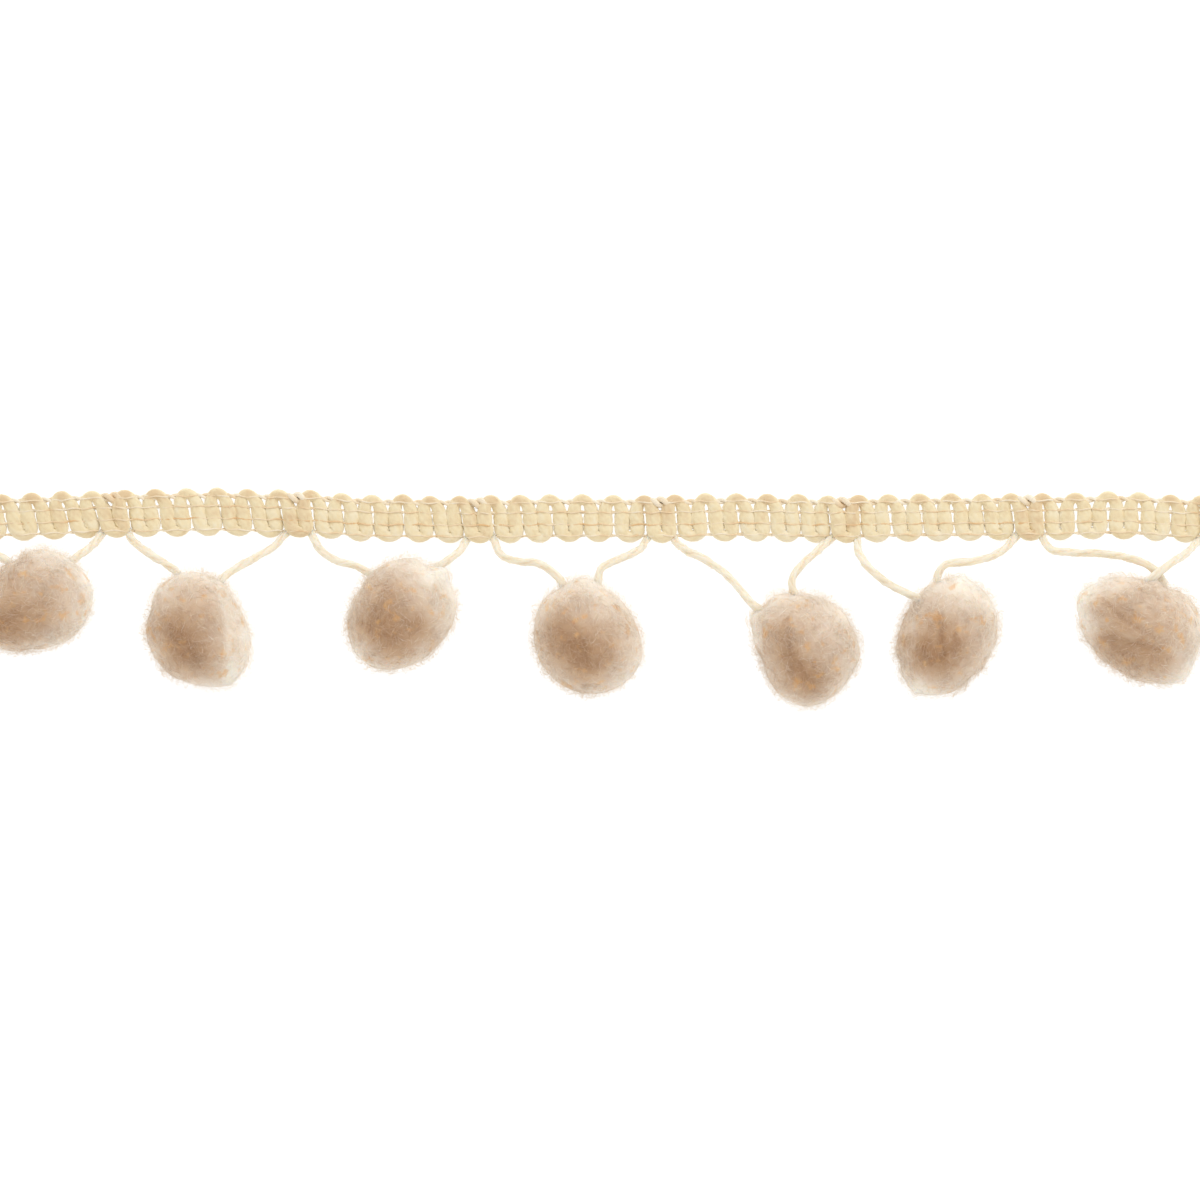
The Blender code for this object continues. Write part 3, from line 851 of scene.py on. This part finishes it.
def make_cord(material, fuzz_material, rng):
    line, run = even_line(smooth_curve(cord_route()), CORD_STEP)
    uneven = 1 + CORD_UNEVEN * wander(len(run), 7, rng)
    radius = CORD_RADIUS * uneven
    relief = strand_relief(run, CORD_SIDES, CORD_PLIES, CORD_LAY * CORD_PLIES, CORD_RELIEF, rng)
    points, triangles = rope_surface(line, radius, radius, relief)
    # The relief is the tint too: painted shade in the grooves between the plies, painted light on their
    # crests
    tint = np.concatenate([relief.ravel(), [1, 1]])
    mesh_piece("carrier_cord_yarn", points, triangles, material, ["carrier_cord"], tint)
    hairs = rope_hairs(line, radius, radius, CORD_HAIRS, CORD_HAIR_LENGTH, CORD_HAIR_STAND,
                       CORD_HAIR_RADIUS, rng)
    make_hairs("carrier_cord_fuzz", hairs, fuzz_material, ["carrier_cord"], rng)


# Pompoms


def corner_reach(number, angle):
    """How far the corners and flats of a pompom's outline take it out of its even form."""
    reach = 0.0
    for direction, width, most in CORNERS.get(number, ()):
        gap = (math.degrees(angle) - direction + 180) % 360 - 180
        reach += most * math.exp(-((gap / width) ** 2))
    return reach * MM


def outline_radius(row, angle):
    """The pompom's even radius in plan, towards an angle."""
    _, _, radius, oval, oval_way, three, three_way = row
    oval_part = oval * math.cos(2 * (angle - math.radians(oval_way)))
    three_part = three * math.cos(3 * (angle - math.radians(three_way)))
    return (radius + oval_part + three_part) * MM


def gap_to_line(x, y, x0, y0, x1, y1):
    """Distance in plan from a point to a straight stretch."""
    length = math.hypot(x1 - x0, y1 - y0)
    share = ((x - x0) * (x1 - x0) + (y - y0) * (y1 - y0)) / length ** 2
    share = min(max(share, 0.0), 1.0)
    return math.hypot(x - x0 - share * (x1 - x0), y - y0 - share * (y1 - y0))


def fold_depth(number, offset):
    """How deep the folds of a pompom's face are at a point above its middle, and their painted light,
    which is below 0 where painted shade deepens them.
    """
    depth = 0.0
    pale = 0.0
    upper = min(max(offset.z / (2 * MM) + 0.5, 0.0), 1.0)
    for x0, y0, x1, y1, width, deep, paler in FOLDS.get(number, ()):
        gap = gap_to_line(offset.x / MM, offset.y / MM, x0, y0, x1, y1)
        share = upper * math.exp(-((gap / width) ** 2))
        depth = max(depth, deep * share)
        if abs(paler * share) > abs(pale):
            pale = paler * share
    return depth * MM, pale


def pile_tone(number, row, offset, fold_pale):
    """How pale the pile is at a point from the pompom's middle, from 0 to 1: its own middle tone, with
    painted light towards the rim, on the upper right and underneath, and painted shade and light in
    patches and folds.
    """
    x, y = offset.x / MM, offset.y / MM
    edge = math.hypot(x, y) / row[2]
    # Painted light: paler towards the rim and towards the upper right
    tone = TONE_MIDDLE + RIM_PAINTED_LIGHT * edge ** RIM_PAINTED_LIGHT_POWER + SLANT_PAINTED_LIGHT * (x + y) / row[2]
    # Patches of painted shade, and of painted light where their depth is below 0
    for px, py, reach, depth in PAINTED_SHADE_AND_LIGHT[number]:
        tone -= depth * math.exp(-((x - px) ** 2 + (y - py) ** 2) / reach ** 2)
    # Painted light: under its widest part the pile is as pale as its rim, then fades to the underside's
    # tone
    if offset.z < 0:
        tone = max(tone, TONE_MIDDLE + RIM_PAINTED_LIGHT)
    below = smooth_step((-offset.z - TONE_FADE_FROM) / TONE_FADE)
    tone += below * (TONE_BELOW - tone)
    return min(max(tone + fold_pale, 0.0), 1.0)


def pile_point(number, row, direction):
    """The point of the pile's surface on the ray from the pompom's middle in this direction,
    and how pale it is there, with its painted light and shade."""
    level = math.hypot(direction.x, direction.y) ** 2
    angle = math.atan2(direction.y, direction.x)
    plan = outline_radius(row, angle) + level ** 3 * corner_reach(number, angle)
    upright = BALL_RISE if direction.z > 0 else BALL_SINK
    reach = upright + level * (plan - upright) - PILE_INSET
    place = Vector((row[0] * MM, row[1] * MM, BALL_MIDDLE))
    offset = direction * reach
    lump = sum(noise.noise((place + offset) / size) * height for size, height in LUMPS)
    lump = lump * (1 - LUMPS_KEPT_IN * level ** 2)
    depth, fold_pale = fold_depth(number, offset)
    spot = place + offset + direction * (lump - depth)
    if spot.z < FLOOR_SOFT:
        spot.z = FOOT + (FLOOR_SOFT - FOOT) * math.exp((spot.z - FLOOR_SOFT) / FLOOR_SOFT)
    return spot, pile_tone(number, row, offset, fold_pale)


def make_ball(number, row, material):
    """The pompom's body, under its loose fibres."""
    bm = bmesh.new()
    bmesh.ops.create_icosphere(bm, subdivisions=BALL_CUTS, radius=1.0)
    # Each point's tint is the pile's tone, with its painted light and shade
    tint = []
    for vert in bm.verts:
        vert.co, tone = pile_point(number, row, vert.co.normalized())
        tint.append(tone)
    bm.verts.index_update()
    points = np.array([tuple(vert.co) for vert in bm.verts])
    triangles = np.array([[vert.index for vert in face.verts] for face in bm.faces])
    bm.free()
    mesh_piece(f"pompom_{number}_body", points, triangles, material,
               [f"pompom_{number}"], tint)


def fibre_line(number, row, dice, length, rise, curl, flat):
    """One fibre of the pile, that lies along its surface and lifts off it. Fibres crowd round the
    pompom's widest part where flat is under 1."""
    direction = Vector((dice.gauss(0, 1), dice.gauss(0, 1), dice.gauss(0, flat))).normalized()
    flow = noise.noise_vector(direction * 1.6 + Vector((number * 7.3, 1.7, 4.2)))
    flow += 0.35 * Vector([dice.gauss(0, 1) for _ in range(3)])
    flow -= direction * flow.dot(direction)
    flow.normalize()
    bend = direction.cross(flow) * dice.gauss(0, curl)
    radius = row[2] * MM
    line = []
    tone = 0.0
    for knot in range(FIBRE_KNOTS):
        share = knot / (FIBRE_KNOTS - 1)
        step = direction + (flow * share + bend * share * share) * (length / radius)
        towards = step.normalized()
        spot, tone_here = pile_point(number, row, towards)
        tone += tone_here / FIBRE_KNOTS
        spot += towards * (rise[0] + (rise[1] - rise[0]) * math.sin(share * math.pi * rise[2]))
        spot.z = max(spot.z, FOOT)
        line.append(tuple(spot))
    return line, tone


def make_pile(number, row, material):
    """The loose fibres of a pompom: most lie along it, the rest stand off it."""
    dice = random.Random(SEED + number)
    lines, radii, tones = [], [], []
    for index in range(LYING_FIBRES + STANDING_FIBRES):
        if index < LYING_FIBRES:
            rise = (LYING_ROOT, dice.uniform(*LYING_RISE) * MM, 1.0)
            length = dice.uniform(*LYING_LENGTH) * MM
            radius = FIBRE_RADIUS
            curl = LYING_CURL
            flat = 1.0
            paler = dice.uniform(*LYING_PALER)
            if dice.random() < PALE_SHARE:
                paler += PALE_MORE
                radius *= PALE_WIDTH
        else:
            height = (STANDING_RISE + STANDING_REACH * dice.random() ** 1.5) * MM
            rise = (STANDING_ROOT, height, dice.choice((0.5, 0.7, 1.0)))
            length = dice.uniform(*STANDING_LENGTH) * MM
            radius = HALO_RADIUS
            curl = STANDING_CURL
            flat = STANDING_FLAT
            # Painted light: the standing fibres are paler
            paler = dice.uniform(*STANDING_PAINTED_LIGHT)
        line, tone = fibre_line(number, row, dice, length, rise, curl, flat)
        lines.append(line)
        radii.append(radius * dice.uniform(0.6, 1.4))
        # Each fibre takes the tone of the pile under it, with its painted light and shade
        tones.append(tone + paler)
    points, triangles, each = hair_surface(np.array(lines), np.array(radii))
    mesh_piece(f"pompom_{number}_pile", points, triangles, material,
               [f"pompom_{number}"], np.repeat(tones, each), smooth=False)


# Materials


class Nodes:
    """The nodes of one material, added and joined in short lines."""

    def __init__(self, name):
        self.material = bpy.data.materials.new(name)
        self.material.use_nodes = True
        self.tree = self.material.node_tree
        self.tree.nodes.clear()

    def add(self, kind, **sockets):
        node = self.tree.nodes.new(kind)
        for socket, value in sockets.items():
            name = socket.replace("_", " ")
            if isinstance(value, bpy.types.NodeSocket):
                self.tree.links.new(value, node.inputs[name])
            else:
                node.inputs[name].default_value = value
        return node

    def place(self):
        return self.add("ShaderNodeTexCoord").outputs["Object"]

    def noise(self, size, detail=3.0, roughness=0.6):
        node = self.add("ShaderNodeTexNoise", Vector=self.place(), Scale=1 / size, Detail=detail,
                        Roughness=roughness)
        return node.outputs["Fac"]

    def tint(self):
        node = self.tree.nodes.new("ShaderNodeAttribute")
        node.attribute_name = "tint"
        return node.outputs["Fac"]

    def ramp(self, value, stops):
        node = self.tree.nodes.new("ShaderNodeValToRGB")
        ramp = node.color_ramp
        while len(ramp.elements) < len(stops):
            ramp.elements.new(0.5)
        for element, (place, colour) in zip(ramp.elements, stops):
            element.position = place
            element.color = (*colour, 1.0)
        self.tree.links.new(value, node.inputs["Fac"])
        return node.outputs["Color"]

    def maths(self, operation, first, second):
        node = self.tree.nodes.new("ShaderNodeMath")
        node.operation = operation
        for index, value in enumerate((first, second)):
            if isinstance(value, bpy.types.NodeSocket):
                self.tree.links.new(value, node.inputs[index])
            else:
                node.inputs[index].default_value = value
        return node.outputs[0]

    def mix(self, share, first, second):
        node = self.tree.nodes.new("ShaderNodeMix")
        node.data_type = "RGBA"
        for socket, value in ((0, share), (6, first), (7, second)):
            if isinstance(value, bpy.types.NodeSocket):
                self.tree.links.new(value, node.inputs[socket])
            elif socket:
                node.inputs[socket].default_value = (*value, 1.0)
            else:
                node.inputs[socket].default_value = value
        return node.outputs[2]

    def bump(self, height, strength, distance):
        node = self.add("ShaderNodeBump", Height=height, Strength=strength, Distance=distance)
        return node.outputs["Normal"]

    def matt(self, colour):
        return self.add("ShaderNodeBsdfPrincipled", Base_Color=colour, Roughness=0.95,
                        Specular_IOR_Level=0.15, Sheen_Weight=0.2, Sheen_Roughness=0.55)

    def finish(self, shader):
        out = self.tree.nodes.new("ShaderNodeOutputMaterial")
        self.tree.links.new(shader.outputs[0], out.inputs["Surface"])
        return self.material

    def yarn(self, colour, normal, reach):
        """A thick matt yarn, that light spreads through as far as reach."""
        base = self.matt(colour)
        base.inputs["Subsurface Weight"].default_value = 1.0
        base.inputs["Subsurface Radius"].default_value = (1.0, 0.85, 0.65)
        base.inputs["Subsurface Scale"].default_value = reach
        self.tree.links.new(normal, base.inputs["Normal"])
        return self.finish(base)

    def thread(self, colour, normal=None):
        """A matt thread or hair that light doesn't go into."""
        base = self.matt(colour)
        if normal is not None:
            self.tree.links.new(normal, base.inputs["Normal"])
        return self.finish(base)


def weft_material():
    nodes = Nodes("braid_yarn")
    patches = nodes.maths("MULTIPLY", nodes.maths("SUBTRACT", nodes.noise(1.6 * MM, 5.0), 0.5), 1.3)
    gold = nodes.maths("ADD", nodes.tint(), patches)
    colour = nodes.ramp(gold, [(0.0, (0.92, 0.84, 0.65)), (0.5, (0.88, 0.75, 0.49)),
                               (1.0, (0.75, 0.56, 0.34))])
    normal = nodes.bump(nodes.noise(0.45 * MM, 4.0), 0.9, 0.08 * MM)
    return nodes.thread(colour, normal)


def warp_material():
    nodes = Nodes("braid_thread")
    colour = nodes.ramp(nodes.tint(), [(0.1, (0.93, 0.83, 0.66)), (0.5, (0.88, 0.72, 0.50)),
                                       (1.0, (0.78, 0.50, 0.24))])
    return nodes.thread(colour)


def cord_material():
    nodes = Nodes("cord_yarn")
    # Painted shade in the grooves between the plies and painted light on their crests, by the tint
    ply_shade = nodes.ramp(nodes.tint(), [(0.90, (0.75, 0.65, 0.50)), (1.06, (0.84, 0.78, 0.67))])
    patches = nodes.ramp(nodes.noise(3.0 * MM, 2.0), [(0.35, (0.77, 0.68, 0.53)),
                                                      (0.65, (0.84, 0.78, 0.66))])
    colour = nodes.mix(0.5, ply_shade, patches)
    normal = nodes.bump(nodes.noise(0.35 * MM, 3.0), 0.3, 0.04 * MM)
    return nodes.yarn(colour, normal, 0.9 * MM)


def hair_material(name, dark, pale):
    nodes = Nodes(name)
    colour = nodes.ramp(nodes.tint(), [(0.0, dark), (1.0, pale)])
    return nodes.thread(colour)


# Colours of the pile by its tone, painted light and shade included
PILE_TONES = [(0.0, (0.49, 0.30, 0.17)), (0.3, (0.635, 0.455, 0.305)), (0.6, (0.75, 0.615, 0.485)),
              (0.85, (0.875, 0.785, 0.67)), (1.0, (0.94, 0.88, 0.79))]
SPECK = (0.80, 0.50, 0.22)


def pile_colour(nodes):
    """Paler and deeper beige by the tone of the pile, which carries its painted light and shade, with a
    few orange specks.
    """
    unevenness = nodes.maths("SUBTRACT", nodes.noise(1.3 * MM, 4.0), 0.5)
    tone = nodes.maths("ADD", nodes.tint(), nodes.maths("MULTIPLY", unevenness, 0.28))
    beige = nodes.ramp(tone, PILE_TONES)
    specks = nodes.ramp(nodes.noise(1.6 * MM, 2.0), [(0.58, (0.0, 0.0, 0.0)), (0.70, (0.6, 0.6, 0.6))])
    return nodes.mix(specks, beige, SPECK)


def ball_material():
    nodes = Nodes("pompom_body")
    normal = nodes.bump(nodes.noise(0.35 * MM, 4.0, 0.6), 0.4, 0.04 * MM)
    return nodes.yarn(pile_colour(nodes), normal, 1.8 * MM)


def pile_material():
    nodes = Nodes("pompom_fibres")
    return nodes.thread(pile_colour(nodes))


# Stage


def make_floor():
    """A plain floor that glows a little, as a lit table does."""
    side = FLOOR_HALF
    places = [(-side, -side, 0), (side, -side, 0), (side, side, 0), (-side, side, 0)]
    mesh = bpy.data.meshes.new("floor")
    mesh.from_pydata(places, [], [(0, 1, 2, 3)])
    floor = bpy.data.objects.new("floor", mesh)
    bpy.context.scene.collection.objects.link(floor)
    nodes = Nodes("floor")
    glow = nodes.add("ShaderNodeEmission", Color=(1.0, 1.0, 1.0, 1.0), Strength=FLOOR_GLOW)
    paper = nodes.add("ShaderNodeBsdfDiffuse", Color=(FLOOR_PAPER, FLOOR_PAPER, FLOOR_PAPER, 1.0))
    both = nodes.tree.nodes.new("ShaderNodeAddShader")
    nodes.tree.links.new(glow.outputs[0], both.inputs[0])
    nodes.tree.links.new(paper.outputs[0], both.inputs[1])
    out = nodes.tree.nodes.new("ShaderNodeOutputMaterial")
    nodes.tree.links.new(both.outputs[0], out.inputs["Surface"])
    mesh.materials.append(nodes.material)


def make_tent():
    """Light from all round, a little brighter low down than overhead."""
    world = bpy.data.worlds.new("tent")
    bpy.context.scene.world = world
    world.use_nodes = True
    tree = world.node_tree
    tree.nodes.clear()
    place = tree.nodes.new("ShaderNodeTexCoord")
    parts = tree.nodes.new("ShaderNodeSeparateXYZ")
    ramp = tree.nodes.new("ShaderNodeValToRGB")
    ramp.color_ramp.elements[0].position = 0.15
    ramp.color_ramp.elements[0].color = (TENT_LOW, TENT_LOW, TENT_LOW, 1.0)
    ramp.color_ramp.elements[1].position = 0.95
    overhead = (TENT_OVERHEAD, TENT_OVERHEAD, TENT_OVERHEAD, 1.0)
    ramp.color_ramp.elements[1].color = overhead
    light = tree.nodes.new("ShaderNodeBackground")
    out = tree.nodes.new("ShaderNodeOutputWorld")
    tree.links.new(place.outputs["Generated"], parts.inputs[0])
    tree.links.new(parts.outputs["Z"], ramp.inputs["Fac"])
    tree.links.new(ramp.outputs["Color"], light.inputs["Color"])
    tree.links.new(light.outputs[0], out.inputs["Surface"])


def make_lamp(name, place, size, power):
    """A soft square light that looks at the middle of the trim."""
    lamp = bpy.data.lights.new(name, "AREA")
    lamp.size = size
    lamp.energy = power
    lamp.color = (1.0, 0.98, 0.95)
    holder = bpy.data.objects.new(name, lamp)
    holder.location = place
    holder.rotation_euler = (-Vector(place)).to_track_quat("-Z", "Y").to_euler()
    bpy.context.scene.collection.objects.link(holder)


def make_camera():
    """Straight down, with a long lens, over the stretch that the photograph shows."""
    lens = 400.0
    sensor = 36.0
    seen = 144.0 * MM
    picture_middle = (3.42 * MM, -0.30 * MM)
    subject_height = 4.0 * MM
    camera = bpy.data.cameras.new("camera")
    camera.lens = lens
    camera.sensor_width = sensor
    camera.clip_start = 0.1
    camera.clip_end = 20.0
    holder = bpy.data.objects.new("camera", camera)
    holder.location = (*picture_middle, subject_height + seen * lens / sensor)
    bpy.context.scene.collection.objects.link(holder)
    bpy.context.scene.camera = holder


def main():
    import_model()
    rng = np.random.default_rng(SEED)
    noise.seed_set(SEED)
    bpy.context.scene.view_settings.view_transform = "Standard"
    make_camera()
    make_floor()
    make_tent()
    make_lamp("lamp_behind", LAMP_PLACE, LAMP_SIZE, LAMP_POWER)
    cord_hair = hair_material("cord_fuzz", (0.90, 0.80, 0.62), (0.96, 0.91, 0.78))
    braid_hair = hair_material("braid_fuzz", (0.92, 0.78, 0.55), (0.96, 0.88, 0.70))
    make_cord(cord_material(), cord_hair, rng)
    line, wide, high = make_weft(weft_material(), rng)
    make_warp(warp_material(), line, wide, high, rng)
    hairs = rope_hairs(line, wide, high, HEADING_HAIRS, HEADING_HAIR_LENGTH, HEADING_HAIR_STAND,
                       HEADING_HAIR_RADIUS, rng)
    make_hairs("heading_fuzz", hairs, braid_hair, ["braid_heading"], rng)
    ball = ball_material()
    pile = pile_material()
    for number, row in enumerate(POMPOMS, start=1):
        make_ball(number, row, ball)
        make_pile(number, row, pile)


main()
